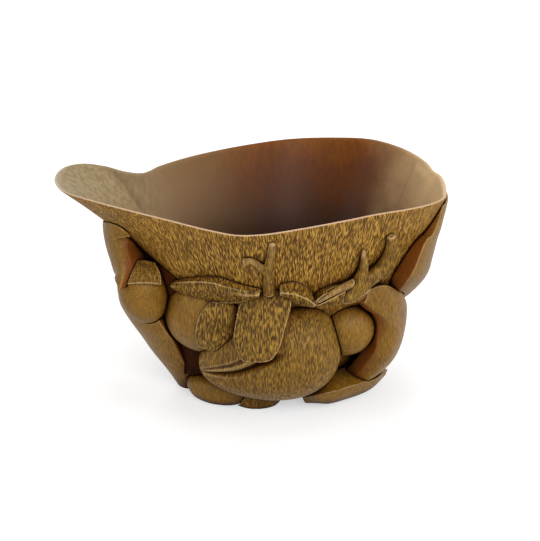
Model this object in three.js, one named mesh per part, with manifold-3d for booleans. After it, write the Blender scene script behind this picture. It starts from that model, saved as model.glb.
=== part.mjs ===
// A libation cup carved from one horn: a bowl with a broad spout, in a nest of fruit, leaves and twigs.
// Each carved motif is its own solid, parted from its neighbours by a narrow carved seam.
// Millimetres, +Z up. The bowl's axis is the Z axis, the spout points along -X and the cup's front faces -Y.
import * as THREE from "three";
import { mergeVertices } from "three/addons/utils/BufferGeometryUtils.js";
import Module from "manifold-3d";

const wasm = await Module();
wasm.setup();

// The cup's main sizes: from the bowl's axis to the spout's tip, half across the mouth, and the height.
const spoutReach = 85.6;
const mouthHalfWidth = 48.4;
const cupHeight = 84;

// The seam between motifs.
const seam = 0.35;

// The bowl: a cone from a small oval foot to the mouth, hollowed from above.
const bowlBottom = 4;
const bowlFootRise = 6;
const bowlFootLeft = 37;
const bowlFootRight = 31;
const bowlFootHalfWidth = 22;
const bowlFlare = 0.94;
const spoutFlare = 2;
const spoutStartRadius = 52;
const lipThickness = 1.5;
const wallThickness = 4.2;
const floorThickness = 6;

// The mouth seen from above, counter-clockwise from the right end. Each row is a share of the spout's reach,
// a share of half the width, and how far the rim lies below the spout's tip.
const mouthOutline = [
  [0.7, -0.09, 5.0],
  [0.703, 0.1, 4.4],
  [0.692, 0.195, 3.9],
  [0.668, 0.265, 3.4],
  [0.649, 0.395, 2.6],
  [0.606, 0.555, 1.8],
  [0.534, 0.74, 1.3],
  [0.409, 0.921, 1.0],
  [0.239, 1.0, 1.5],
  [0.027, 0.992, 2.0],
  [-0.169, 0.876, 2.5],
  [-0.345, 0.731, 3.2],
  [-0.473, 0.616, 4.2],
  [-0.578, 0.475, 5.0],
  [-0.643, 0.376, 6.0],
  [-0.718, 0.351, 5.0],
  [-0.811, 0.364, 3.0],
  [-0.911, 0.293, 0.8],
  [-0.981, 0.15, 0],
  [-1, -0.124, 0],
  [-0.944, -0.372, 0.4],
  [-0.824, -0.529, 0.8],
  [-0.682, -0.632, 2.2],
  [-0.493, -0.758, 4.0],
  [-0.315, -0.901, 5.2],
  [-0.201, -0.979, 5.5],
  [-0.088, -0.988, 5.0],
  [0.07, -0.926, 4.0],
  [0.234, -0.835, 3.0],
  [0.374, -0.723, 2.6],
  [0.514, -0.591, 3.1],
  [0.619, -0.421, 4.2],
  [0.682, -0.252, 5.0],
];
const mouthSteps = 68;
const rimTableSteps = 720;

const mouth = new THREE.CatmullRomCurve3(
  mouthOutline.map(([x, y, drop]) => new THREE.Vector3(x * spoutReach, y * mouthHalfWidth, cupHeight - drop)),
  true,
  "centripetal",
);
const degrees = THREE.MathUtils.degToRad;
const { lerp, smoothstep } = THREE.MathUtils;

// Geometry and solids

// A closed solid through a stack of rings, with a pole point at each end.
function loft(startPole, rings, endPole) {
  const sides = rings[0].length;
  const points = [startPole, ...rings.flat(), endPole];
  const last = points.length - 1;
  const at = (ring, side) => 1 + ring * sides + (side % sides);
  const faces = [];
  for (let side = 0; side < sides; side++) {
    faces.push(0, at(0, side + 1), at(0, side));
    for (let ring = 0; ring + 1 < rings.length; ring++) {
      faces.push(at(ring, side), at(ring, side + 1), at(ring + 1, side + 1));
      faces.push(at(ring, side), at(ring + 1, side + 1), at(ring + 1, side));
    }
    faces.push(last, at(rings.length - 1, side), at(rings.length - 1, side + 1));
  }
  return solidFrom(new Float32Array(points.flatMap((p) => p.toArray())), new Uint32Array(faces));
}

// Rings may run either way round, so a solid that comes out inside out has its faces turned.
function solidFrom(vertProperties, triVerts) {
  const made = new wasm.Manifold(new wasm.Mesh({ numProp: 3, vertProperties, triVerts }));
  if (made.volume() > 0) return made;
  for (let i = 0; i < triVerts.length; i += 3) {
    [triVerts[i + 1], triVerts[i + 2]] = [triVerts[i + 2], triVerts[i + 1]];
  }
  return new wasm.Manifold(new wasm.Mesh({ numProp: 3, vertProperties, triVerts }));
}

function solidOf(geometry) {
  const bare = new THREE.BufferGeometry();
  bare.setAttribute("position", geometry.getAttribute("position"));
  bare.setIndex(geometry.index);
  const merged = mergeVertices(bare);
  return solidFrom(merged.attributes.position.array, new Uint32Array(merged.index.array));
}

function geometryOf(solid) {
  const mesh = solid.getMesh();
  const geometry = new THREE.BufferGeometry();
  geometry.setAttribute("position", new THREE.BufferAttribute(new Float32Array(mesh.vertProperties), 3));
  geometry.setIndex(new THREE.BufferAttribute(new Uint32Array(mesh.triVerts), 1));
  geometry.computeVertexNormals();
  return geometry;
}

// Offcuts that a cut frees from a motif fall away, as they do at the bench.
function largestBody(solid) {
  const bodies = solid.decompose();
  return bodies.reduce((a, b) => (b.volume() > a.volume() ? b : a));
}

// The bowl

function footRadius(angle) {
  const reach = Math.cos(angle) < 0 ? bowlFootLeft : bowlFootRight;
  return 1 / Math.hypot(Math.cos(angle) / reach, Math.sin(angle) / bowlFootHalfWidth);
}

// A point of the mouth with its inward direction, seen from above.
function mouthPoint(turn) {
  const rim = mouth.getPoint(turn);
  const along = mouth.getTangent(turn);
  rim.inward = new THREE.Vector3(-along.y, along.x, 0).normalize();
  return rim;
}

// A point of the outer flank below a rim point, at a share of the height from the flank's start to the rim.
function flankPoint(rim, share, inset = 0) {
  const angle = Math.atan2(rim.y, rim.x);
  const rimRadius = Math.hypot(rim.x, rim.y);
  const flare = lerp(bowlFlare, spoutFlare, smoothstep(rimRadius, spoutStartRadius, spoutReach));
  const radius = lerp(footRadius(angle), rimRadius, share ** flare);
  const height = lerp(bowlBottom + bowlFootRise, rim.z, share);
  const inward = new THREE.Vector3(-Math.cos(angle), -Math.sin(angle), 0).lerp(rim.inward, share).normalize();
  const flank = new THREE.Vector3(radius * Math.cos(angle), radius * Math.sin(angle), height);
  return flank.addScaledVector(inward, inset);
}

function rimPoints() {
  return Array.from({ length: mouthSteps }, (_, i) => mouthPoint(i / mouthSteps));
}

// The rounded bottom, from near its centre out to the flank, grown outwards by a margin.
function bottomRings(rims, margin) {
  const turns = [35, 65];
  return turns.map((turn) => {
    const out = Math.sin(degrees(turn));
    const up = bowlFootRise * (1 - Math.cos(degrees(turn)));
    return rims.map((rim) => {
      const angle = Math.atan2(rim.y, rim.x);
      const radius = (footRadius(angle) + margin) * out;
      return new THREE.Vector3(radius * Math.cos(angle), radius * Math.sin(angle), bowlBottom - margin + up);
    });
  });
}

function makeBowl() {
  const rims = rimPoints();
  const outsideShares = [0, 0.15, 0.3, 0.45, 0.6, 0.72, 0.84, 0.93, 0.98];
  const outside = outsideShares.map((share) => rims.map((rim) => flankPoint(rim, share)));
  const crest = rims.map((rim) => flankPoint(rim, 1, lipThickness * 0.3));
  const innerEdge = rims.map((rim) => flankPoint(rim, 0.992, lipThickness * 0.85));
  const insideShares = [0.96, 0.86, 0.74, 0.6, 0.45, 0.3, 0.18];
  const inside = insideShares.map((share) =>
    rims.map((rim) => flankPoint(rim, share, lerp(wallThickness, lipThickness, smoothstep(share, 0.5, 1)))),
  );
  const floorHeight = bowlBottom + floorThickness;
  const well = inside.at(-1);
  const floorTurns = [60, 30];
  const floor = floorTurns.map((turn) =>
    well.map((p) => {
      const out = Math.sin(degrees(turn));
      const height = lerp(p.z, floorHeight, Math.cos(degrees(turn)));
      return new THREE.Vector3(p.x * out, p.y * out, height);
    }),
  );
  return loft(
    new THREE.Vector3(0, 0, bowlBottom),
    [...bottomRings(rims, 0), ...outside, crest, innerEdge, ...inside, ...floor],
    new THREE.Vector3(0, 0, floorHeight),
  );
}

// The bowl's outer shape without its hollow, grown by a margin, to seat the motifs on.
function bowlEnvelope(margin) {
  const rims = rimPoints();
  const shares = [0, 0.2, 0.4, 0.6, 0.8, 1];
  const outside = shares.map((share) => rims.map((rim) => flankPoint(rim, share, -margin * 1.3)));
  return loft(
    new THREE.Vector3(0, 0, bowlBottom - margin),
    [...bottomRings(rims, margin), ...outside],
    new THREE.Vector3(0, 0, rims[0].z),
  );
}

// Surfaces that motifs are laid out on. Each gives a point, and the focus that the motif bends round.

const rimTable = Array.from({ length: rimTableSteps }, (_, i) => mouthPoint(i / rimTableSteps));

function rimAt(angle) {
  const off = (p) => 1 - (p.x * Math.cos(angle) + p.y * Math.sin(angle)) / Math.hypot(p.x, p.y);
  return rimTable.reduce((a, b) => (off(b) < off(a) ? b : a));
}

// Rows on the bowl: angle, height, and how proud of the flank the crest stands.
// The lean turns the face downwards.
function onBowl(lean) {
  return {
    point(angle, height, proud) {
      const rim = rimAt(degrees(angle));
      const start = bowlBottom + bowlFootRise;
      const share = THREE.MathUtils.clamp((height - start) / (rim.z - start), 0, 1);
      const flank = flankPoint(rim, share);
      const radius = Math.hypot(flank.x, flank.y) + proud;
      return new THREE.Vector3(radius * Math.cos(degrees(angle)), radius * Math.sin(degrees(angle)), height);
    },
    focus: (p) => new THREE.Vector3(0, 0, p.z + lean * Math.hypot(p.x, p.y)),
  };
}

// Rows round an upright line: angle, height, and distance from the line.
// The line's place is a share of the spout's reach and of half the mouth's width.
function around(along, across, lift) {
  const [x, y] = [along * spoutReach, across * mouthHalfWidth];
  return {
    point: (angle, height, radius) =>
      new THREE.Vector3(x + radius * Math.cos(degrees(angle)), y + radius * Math.sin(degrees(angle)), height),
    focus: (p) => new THREE.Vector3(x, y, p.z + lift),
  };
}

const wall = onBowl(0.6);
const nest = onBowl(0.18);
const underSpout = around(-0.543, -0.186, 2);
const leftSide = around(-0.35, -0.083, 6);
const backLeftSide = around(-0.187, 0, 8);

// Rows on a fruit: azimuth, elevation, and how proud of the fruit the crest stands.
function onFruit(fruit) {
  return {
    point(azimuth, elevation, proud) {
      const level = Math.cos(degrees(elevation));
      const direction = new THREE.Vector3(
        level * Math.cos(degrees(azimuth)),
        level * Math.sin(degrees(azimuth)),
        Math.sin(degrees(elevation)),
      );
      const axes = fruitAxes(fruit);
      const local = axes.map((axis, i) => direction.dot(axis) / fruit.radii[i]);
      const reach = 1 / Math.hypot(...local);
      return direction.multiplyScalar(reach + proud).add(fruitCentre(fruit));
    },
    focus: () => fruitCentre(fruit),
  };
}

// Fruit: an egg with a dimple where its stalk was, a pointed end, and a cleft between the two,
// which may sweep to one side towards the stalk.
// Its middle is placed by angle, height and distance from the bowl's flank.

function fruitCentre(fruit) {
  return wall.point(...fruit.at);
}

function fruitAxes(fruit) {
  const tip = new THREE.Vector3(...fruit.tipToward).normalize();
  const stalk = tip.clone().negate();
  const cleft = new THREE.Vector3(...fruit.cleftToward);
  cleft.addScaledVector(stalk, -cleft.dot(stalk)).normalize();
  return [cleft, stalk.clone().cross(cleft), stalk];
}

const cleftSpread = 0.22;
const endSpread = 0.32;

function makeFruit(fruit, margin = 0) {
  const { radii, egg = 0, cleft = 0, sweep = 0, dimple = 0, point = 0, steps = 22 } = fruit;
  const geometry = new THREE.SphereGeometry(1, steps, Math.round(steps * 0.6));
  const position = geometry.getAttribute("position");
  const [cleftAxis, sideAxis, stalkAxis] = fruitAxes(fruit);
  const place = new THREE.Matrix4().makeBasis(cleftAxis, sideAxis, stalkAxis).setPosition(fruitCentre(fruit));
  const v = new THREE.Vector3();
  for (let i = 0; i < position.count; i++) {
    v.fromBufferAttribute(position, i);
    const [across, side, along] = [v.x, -v.z, v.y];
    const waist = Math.hypot(across, side);
    const fullness = 1 + egg * along;
    const fade = smoothstep(-along, -0.2, 0.4);
    const turn = Math.atan2(side, across) + degrees(sweep) * smoothstep(along, -0.6, 0.2);
    const groove = cleft * fade * Math.exp(-((turn / cleftSpread) ** 2));
    const end = Math.exp(-((waist / endSpread) ** 2)) * (along > 0 ? -dimple : point);
    v.set(
      across * (radii[0] * fullness - groove + margin),
      side * (radii[1] * fullness - groove + margin),
      along * (radii[2] + end + margin),
    );
    position.setXYZ(i, v.x, v.y, v.z);
  }
  geometry.applyMatrix4(place);
  return solidOf(geometry);
}

// Leaf: a blade along a spine, bent round its focus, with a crowned face and sides that draw in underneath.
// Its two edges are turned up (above 0) or back (below 0) by the given amounts.

const leafShares = [-1, -0.72, 0, 0.72, 1];

function makeLeaf(leaf, margin = 0) {
  const { on, rows, thick, camber, edges = [0, 0], undercut = 0.85, steps = 8 } = leaf;
  const spine = new THREE.CatmullRomCurve3(rows.map((row) => on.point(row[0], row[1], row[2])));
  const widths = new THREE.CatmullRomCurve3(rows.map((row) => new THREE.Vector3(row[3], row[4], 0)));
  const rings = [];
  for (let i = 0; i <= steps; i++) {
    const t = i / steps;
    const centre = spine.getPoint(t);
    const focus = on.focus(centre);
    const outward = centre.clone().sub(focus).normalize();
    const side = outward.clone().cross(spine.getTangent(t)).normalize();
    const width = widths.getPoint(t);
    const reach = centre.distanceTo(focus);
    const rest = (share, lift, spread) => {
      const offset = ((share < 0 ? width.x : width.y) + margin) * share * spread;
      const bent = centre.clone().addScaledVector(side, offset).sub(focus).setLength(reach + lift);
      return bent.add(focus);
    };
    const face = leafShares.map((share) => {
      const edge = share < 0 ? edges[0] : edges[1];
      return rest(share, margin - camber * share ** 2 + edge * share ** 4, 1);
    });
    const back = leafShares.map((share) => rest(-share, -thick - margin, undercut));
    rings.push([...face, ...back]);
  }
  const cap = (t, way) => {
    const centre = spine.getPoint(t);
    const inward = on.focus(centre).sub(centre).setLength(thick / 2);
    return centre.add(inward).addScaledVector(spine.getTangent(t), way * (0.6 + margin));
  };
  return loft(cap(0, -1), rings, cap(1, 1));
}

// Branch: a round shoot that tapers and swells along its path, with domed ends.

function makeBranch(branch, margin = 0) {
  const path = new THREE.CatmullRomCurve3(branch.rows.map((row) => branch.on.point(row[0], row[1], row[2])));
  const girth = new THREE.CatmullRomCurve3(branch.rows.map((row) => new THREE.Vector3(row[3], 0, 0)));
  const steps = 2 * branch.rows.length;
  const sides = 7;
  const rings = [];
  for (let i = 0; i <= steps; i++) {
    const t = i / steps;
    const centre = path.getPoint(t);
    const tangent = path.getTangent(t);
    const outward = centre.clone().sub(branch.on.focus(centre));
    const side = outward.clone().cross(tangent).normalize();
    const up = tangent.clone().cross(side).normalize();
    const radius = girth.getPoint(t).x + margin;
    rings.push(
      Array.from({ length: sides }, (_, k) => {
        const turn = (2 * Math.PI * k) / sides;
        return centre
          .clone()
          .addScaledVector(side, radius * Math.cos(turn))
          .addScaledVector(up, radius * Math.sin(turn));
      }),
    );
  }
  const cap = (t, way) => {
    const dome = (girth.getPoint(t).x + margin) * 0.5;
    return path.getPoint(t).addScaledVector(path.getTangent(t), way * dome);
  };
  return loft(cap(0, -1), rings, cap(1, 1));
}

function makeTwig(twig, margin = 0) {
  const shoots = twig.shoots.map((rows) => makeBranch({ ...twig, rows }, margin));
  return shoots.reduce((a, b) => a.add(b));
}

// Motifs, from the ones that keep their whole shape to the ones that give way to their neighbours.

const frontPeach = {
  at: [257.5, 24.8, -1],
  radii: [19.8, 19.8, 27],
  egg: 0.27,
  tipToward: [-36, -2, -10],
  cleftToward: [0, -1, 0],
  cleft: 5,
  sweep: 16,
  dimple: 1,
};
const leftFruit = {
  at: [212.7, 38, -7.5],
  radii: [18, 19, 17],
  tipToward: [0.2, 0, -1],
  cleftToward: [-1, -0.4, 0],
};
const rightFruit = {
  at: [314.6, 32, -1.3],
  radii: [11, 11, 11],
  tipToward: [0.3, -0.2, -1],
  cleftToward: [0.6, -1, 0],
  steps: 18,
};
const bud = {
  at: [203.7, 46.5, 11.6],
  radii: [9.1, 9.1, 12.3],
  tipToward: [0.3, -0.1, -1],
  cleftToward: [-0.5, -1, 0],
  steps: 18,
};
const backPeach = {
  at: [76.5, 26, -3.4],
  radii: [18, 18, 24],
  egg: 0.25,
  tipToward: [30, 4, -8],
  cleftToward: [0, 1, 0.1],
  cleft: 3.5,
  dimple: 1,
  point: 3,
};
const backFruit = {
  at: [142.8, 33, -4.7],
  radii: [16, 16, 15],
  tipToward: [0, 0.2, -1],
  cleftToward: [-1, 0.4, 0],
};

const makers = { fruit: makeFruit, leaf: makeLeaf, twig: makeTwig };

const motifs = [
  ["front_peach", "fruit", frontPeach],
  ["right_fruit", "fruit", rightFruit],
  ["left_fruit", "fruit", leftFruit],
  [
    "curled_leaf",
    "leaf",
    {
      on: underSpout,
      rows: [
        [206, 76, 20, 8, 11],
        [206, 70, 21.4, 12, 14],
        [208, 63.5, 21.4, 12, 14],
        [215, 58.5, 21.6, 8.5, 10],
        [226, 54.5, 22.2, 4, 5],
        [233, 50.5, 23.4, 0.6, 0.6],
      ],
      thick: 16,
      camber: 1,
      edges: [0, -3.5],
      undercut: 0.75,
    },
  ],
  ["bud", "fruit", bud],
  ["back_peach", "fruit", backPeach],
  ["back_fruit", "fruit", backFruit],
  [
    "centre_leaf",
    "leaf",
    {
      on: onFruit(frontPeach),
      rows: [
        [268, 70, 12.5, 6, 9],
        [263, 62, 10, 8.6, 10],
        [259, 52, 6.8, 9.8, 10],
        [254, 40, 4.4, 9.2, 10.8],
        [249, 27, 3.2, 7.4, 10],
        [244, 14, 2.6, 0.8, 0.8],
      ],
      thick: 12,
      camber: 1.4,
      edges: [1.2, 1.6],
    },
  ],
  [
    "small_leaf",
    "leaf",
    {
      on: wall,
      rows: [
        [267, 54.3, 4.6, 1, 1],
        [273, 53.4, 6, 2.2, 1.6],
        [278, 51.2, 6.6, 2.4, 1.8],
        [284, 48.2, 6.4, 0.8, 0.8],
      ],
      thick: 9,
      camber: 0.4,
      steps: 6,
    },
  ],
  [
    "folded_leaf",
    "leaf",
    {
      on: wall,
      rows: [
        [213, 50, 4, 1, 1],
        [219.6, 50.5, 4.4, 5, 3],
        [227, 52, 4.8, 6.5, 3.6],
        [236, 53.4, 5, 7, 3.8],
        [244, 53.4, 4.8, 5.6, 2.6],
        [251, 53.2, 4.2, 3.4, 1.6],
        [257, 53.4, 3.4, 1, 0.8],
      ],
      thick: 7,
      camber: 0.8,
      edges: [0.6, -1],
    },
  ],
  [
    "draped_leaf",
    "leaf",
    {
      on: onFruit(leftFruit),
      rows: [
        [284, 36, 2.8, 1.5, 10],
        [283, 24, 2.8, 5.5, 11],
        [281, 10, 2.6, 8.2, 11],
        [280, -6, 2.6, 9, 10],
        [280, -24, 2.6, 7, 8],
      ],
      thick: 5,
      camber: 0.8,
      edges: [-0.8, 0],
    },
  ],
  [
    "forked_twig",
    "twig",
    {
      on: wall,
      shoots: [
        [
          [261.3, 53.5, 1.4, 2.9],
          [261.4, 59, 1.3, 2.4],
          [261.8, 64.5, 1.2, 2.3],
          [263, 70, 1.1, 2],
          [263.8, 75.5, 0.8, 1.7],
        ],
        [
          [261.3, 62.5, 1.2, 2],
          [257.5, 66, 1.3, 1.9],
          [254.3, 68, 1.4, 1.9],
          [251.8, 67.5, 1.6, 2.1],
        ],
      ],
    },
  ],
  [
    "thorn_twig",
    "twig",
    {
      on: wall,
      shoots: [
        [
          [302.5, 47.5, 3.4, 1.6],
          [305, 50.5, 3.6, 3],
          [308.5, 54.5, 3.2, 2.8],
          [310, 60, 2.2, 1.8],
          [308.4, 67.6, 1.2, 0.6],
        ],
        [
          [303, 48.5, 3.4, 1.8],
          [307, 51.5, 3.8, 3.2],
          [313, 54.7, 3.6, 3.4],
          [318.5, 57.3, 3, 3.4],
          [321.6, 61.5, 2.8, 3.1],
          [322.2, 67, 2.2, 2.7],
          [320.8, 71.5, 1.6, 2.2],
        ],
      ],
    },
  ],
  [
    "stem",
    "twig",
    {
      on: wall,
      shoots: [
        [
          [286, 48.4, 3.6, 0.7],
          [290, 50.5, 4, 1.5],
          [296, 53, 4.2, 1.9],
          [301, 54.3, 4, 2.1],
          [306, 55, 3.4, 2.2],
        ],
      ],
    },
  ],
  [
    "right_top_leaf",
    "leaf",
    {
      on: nest,
      rows: [
        [284, 47.5, 4.5, 1, 1],
        [291.6, 49.8, 5.2, 3.4, 3],
        [299.3, 50.2, 5, 4.6, 3.6],
        [308, 49.8, 5, 4.6, 3.4],
        [316, 48.5, 5.6, 2.5, 2],
      ],
      thick: 12,
      camber: 0.6,
      edges: [-0.8, 0],
    },
  ],
  [
    "right_leaf",
    "leaf",
    {
      on: nest,
      rows: [
        [319, 43, 8, 3.5, 8.5],
        [323.5, 38.5, 10, 2.8, 11.5],
        [327.5, 33.5, 11.5, 4.4, 14],
        [330, 27.5, 13.5, 7.5, 16.5],
        [329.5, 20, 15, 8, 18],
        [326, 13, 14, 5, 15],
        [322, 6, 10, 2.5, 8],
      ],
      thick: 10,
      camber: 1.2,
      edges: [-3.5, 0],
      undercut: 0.7,
    },
  ],
  [
    "bud_leaf",
    "leaf",
    {
      on: leftSide,
      rows: [
        [229, 60, 27, 1, 1],
        [235, 54, 26.5, 4, 4],
        [239, 47, 26.5, 5, 4.5],
        [240, 39, 25.5, 5.5, 5],
        [238, 29, 23, 4.5, 4.5],
        [235, 20, 20, 1, 1],
      ],
      thick: 12,
      camber: 0.8,
    },
  ],
  [
    "left_base_leaf",
    "leaf",
    {
      on: leftSide,
      rows: [
        [196, 45, 34, 8, 8],
        [198, 38, 34, 13, 19],
        [201, 31, 31, 14, 22],
        [203, 24, 27, 14, 20.5],
        [206, 16, 22.6, 12, 16],
        [209, 8, 17.6, 9, 11],
        [212, -3, 11.5, 7, 7],
      ],
      thick: 10,
      camber: 2.5,
      edges: [0, -1.5],
    },
  ],
  [
    "bud_calyx",
    "leaf",
    {
      on: onFruit(bud),
      rows: [
        [272, 84, 1.4, 5, 5],
        [272, 60, 1.6, 8.5, 8.5],
        [272, 40, 1.3, 9.5, 9.5],
      ],
      thick: 4,
      camber: 0.2,
      steps: 5,
    },
  ],
  [
    "outer_petal",
    "leaf",
    {
      on: onBowl(0.1),
      rows: [
        [2, 76, 2, 16, 15],
        [2, 69, 6, 17, 17],
        [1, 61, 8.5, 22, 18],
        [-2, 53, 9.5, 27, 18],
        [-5, 45.5, 9.2, 27, 17],
        [-8, 39, 7, 19, 12],
        [-11, 34.5, 3.5, 9, 5],
      ],
      thick: 6,
      camber: 0.5,
      edges: [-5, -5],
      undercut: 0.9,
    },
  ],
  [
    "back_leaf",
    "leaf",
    {
      on: onFruit(backPeach),
      rows: [
        [96, 66, 3.4, 2, 2],
        [96, 52, 3.4, 8, 8],
        [94, 38, 3.2, 11, 11],
        [90, 24, 3, 10, 10],
        [86, 10, 2.8, 6, 6],
        [83, 0, 2.6, 0.8, 0.8],
      ],
      thick: 6,
      camber: 1.2,
      edges: [1.2, 1.2],
    },
  ],
  [
    "back_draped_leaf",
    "leaf",
    {
      on: onFruit(backFruit),
      rows: [
        [150, 34, 3, 1, 1],
        [128, 46, 3.4, 5, 5],
        [104, 50, 3.6, 7, 7],
        [80, 46, 3.6, 6, 6],
        [62, 36, 3.2, 1, 1],
      ],
      thick: 6,
      camber: 0.6,
    },
  ],
  [
    "back_twig",
    "twig",
    {
      on: wall,
      shoots: [
        [
          [112, 47, 1.4, 2.9],
          [108, 54, 1.4, 2.5],
          [103, 61, 1.3, 2.2],
          [101, 68, 1.1, 1.8],
          [97, 74, 0.9, 1.4],
        ],
        [
          [106, 57, 1.3, 2],
          [112, 62, 1.3, 1.9],
          [117, 66, 1.2, 1.8],
        ],
      ],
    },
  ],
  [
    "back_stem",
    "twig",
    {
      on: wall,
      shoots: [
        [
          [112, 47, 1.4, 2.6],
          [98, 50, 2.2, 2.5],
          [82, 50, 2.4, 2.5],
          [66, 51, 2.2, 2.2],
          [54, 55, 1.4, 1.5],
        ],
      ],
    },
  ],
  [
    "back_right_leaf",
    "leaf",
    {
      on: nest,
      rows: [
        [46, 54, 1, 1, 1],
        [42, 47, 5, 8, 8],
        [38, 38, 9, 13, 13],
        [35, 28, 11.5, 14, 14],
        [33, 17, 12, 11, 11],
        [33, 7, 8, 7, 7],
        [33, -3, 2.5, 4, 4],
      ],
      thick: 9,
      camber: 1.5,
      edges: [-3, -3],
    },
  ],
  [
    "back_left_leaf",
    "leaf",
    {
      on: backLeftSide,
      rows: [
        [146, 62, 40, 1, 1],
        [148, 53, 40, 9, 9],
        [152, 42, 38, 14, 14],
        [154, 31, 33.5, 15, 15],
        [155, 20, 28, 12, 12],
        [155, 10, 22.5, 8, 8],
        [155, 3, 18, 4, 4],
      ],
      thick: 10,
      camber: 2,
      edges: [-3, -3],
    },
  ],
  [
    "right_foot_leaf",
    "leaf",
    {
      on: wall,
      rows: [
        [284, 3, 7.5, 3, 3],
        [297, 4.5, 11.5, 6, 6],
        [313, 5, 11.5, 7, 6],
        [331, 4, 10.5, 6, 5],
        [350, 2.5, 9.5, 3, 3],
      ],
      thick: 11,
      camber: 1.2,
      edges: [-1, 0.6],
      undercut: 0.5,
    },
  ],
  [
    "left_foot_branch",
    "twig",
    {
      on: wall,
      shoots: [
        [
          [203, 4.5, 5.5, 3.4],
          [211, 4.4, 6.5, 5],
          [221, 4.6, 6.8, 5.4],
          [231, 5, 5, 5.2],
          [240, 8, -2, 4],
        ],
      ],
    },
  ],
  [
    "centre_foot",
    "twig",
    {
      on: wall,
      shoots: [
        [
          [232, 2, 4.5, 3],
          [244, 2.4, 4.8, 4.2],
          [256, 3, 2.5, 4.2],
          [264, 6, -3, 3.2],
        ],
      ],
    },
  ],
  [
    "back_foot_leaf",
    "leaf",
    {
      on: wall,
      rows: [
        [112, 4, 8, 2, 3],
        [98, 6, 12, 6, 6],
        [82, 6.5, 13, 7, 6],
        [66, 5, 11.5, 6, 5],
        [50, 3, 9.5, 3, 3],
      ],
      thick: 14,
      camber: 1.2,
      edges: [-1, 0.6],
    },
  ],
  [
    "back_foot_branch",
    "twig",
    {
      on: wall,
      shoots: [
        [
          [183, 4, -0.5, 4],
          [172, 4.5, 0, 4.6],
          [158, 4.8, 2.5, 5],
          [142, 5, 3.5, 5.4],
          [128, 5.5, 1.5, 5],
          [116, 8, -3.5, 4],
        ],
      ],
    },
  ],
];

// Assembly: every motif is cut by the bowl and by the motifs before it, and to the ground.

const hornColours = { bowl: 0x7d5426, fruit: 0x8a6230, leaf: 0x7f5829, twig: 0x866030 };
const cup = new THREE.Group();
cup.name = "horn_cup";

function addNode(name, solid, colour) {
  const material = new THREE.MeshStandardMaterial({ color: colour, roughness: 0.55, metalness: 0 });
  const mesh = new THREE.Mesh(geometryOf(solid), material);
  mesh.name = name;
  cup.add(mesh);
}

function meet(a, b) {
  const [p, q] = [a.boundingBox(), b.boundingBox()];
  return [0, 1, 2].every((i) => p.min[i] < q.max[i] && q.min[i] < p.max[i]);
}

function groundCutter() {
  const box = new THREE.BoxGeometry(4 * spoutReach, 4 * spoutReach, cupHeight);
  box.translate(0, 0, -cupHeight / 2);
  return solidOf(box);
}

const ground = groundCutter();
const cutters = [bowlEnvelope(seam)];
addNode("bowl", makeBowl(), hornColours.bowl);
for (const [name, kind, shape] of motifs) {
  let solid = makers[kind](shape).subtract(ground);
  for (const cutter of cutters) {
    if (meet(solid, cutter)) solid = solid.subtract(cutter);
  }
  addNode(name, largestBody(solid), hornColours[kind]);
  cutters.push(makers[kind](shape, seam));
}

// The origin is the middle of the cup's box, on the ground.
const box = new THREE.Box3().setFromObject(cup);
const middle = box.getCenter(new THREE.Vector3());
cup.position.set(-middle.x, -middle.y, 0);

export default cup;
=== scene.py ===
"""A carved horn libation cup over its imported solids. Millimetres while modelling, metres in the scene."""

import math

import bpy
import numpy as np
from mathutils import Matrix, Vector


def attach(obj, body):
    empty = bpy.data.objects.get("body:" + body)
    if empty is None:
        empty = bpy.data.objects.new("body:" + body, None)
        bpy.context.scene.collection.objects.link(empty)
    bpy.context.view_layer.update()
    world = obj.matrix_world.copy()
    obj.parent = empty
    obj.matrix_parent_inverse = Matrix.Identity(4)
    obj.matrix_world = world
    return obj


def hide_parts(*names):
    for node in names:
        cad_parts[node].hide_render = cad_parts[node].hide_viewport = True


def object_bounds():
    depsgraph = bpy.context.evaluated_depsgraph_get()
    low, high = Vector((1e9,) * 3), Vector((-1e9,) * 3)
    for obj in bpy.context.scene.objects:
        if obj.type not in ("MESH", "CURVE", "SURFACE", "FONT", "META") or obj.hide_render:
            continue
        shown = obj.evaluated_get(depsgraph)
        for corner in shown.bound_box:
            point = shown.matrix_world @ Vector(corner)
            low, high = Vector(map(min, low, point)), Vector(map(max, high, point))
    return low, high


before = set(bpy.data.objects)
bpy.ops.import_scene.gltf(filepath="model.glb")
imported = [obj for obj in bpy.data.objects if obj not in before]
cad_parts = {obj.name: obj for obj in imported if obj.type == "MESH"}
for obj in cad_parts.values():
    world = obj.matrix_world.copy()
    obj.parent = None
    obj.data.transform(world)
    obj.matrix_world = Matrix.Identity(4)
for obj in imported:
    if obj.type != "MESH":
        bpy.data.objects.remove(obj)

cad_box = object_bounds()

MM = 0.001

# How the motifs are cut apart and softened
SEAM = 0.3
VOXEL = 0.3
SMOOTH_STEPS = 4
GROUND_DEPTH = 60.0
GROUND_REACH = 200.0

# The cup's main sizes, the bowl and the mouth, as in the solids
SPOUT_REACH = 85.6
MOUTH_HALF_WIDTH = 48.4
CUP_HEIGHT = 84.0
BOWL_BOTTOM = 4.0
BOWL_FOOT_RISE = 6.0
BOWL_FOOT_LEFT = 37.0
BOWL_FOOT_RIGHT = 31.0
BOWL_FOOT_HALF_WIDTH = 22.0
BOWL_FLARE = 0.94
SPOUT_FLARE = 2.0
SPOUT_START_RADIUS = 52.0
LIP_THICKNESS = 1.5
WALL_THICKNESS = 4.2
FLOOR_THICKNESS = 6.0

# The bowl's points round the mouth, and the shares of the wall's height where its rim and its well begin
MOUTH_STEPS = 480
ENVELOPE_STEPS = 240
LIP_SHARE = 0.015
RIM_SHARE = 1 - LIP_SHARE
WELL_SHARE = 0.18
RIM_RINGS = 3
FLANK_RINGS = 64
HOLLOW_RINGS = 56
WELL_TURNS = (75, 60, 45, 30, 15)

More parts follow.
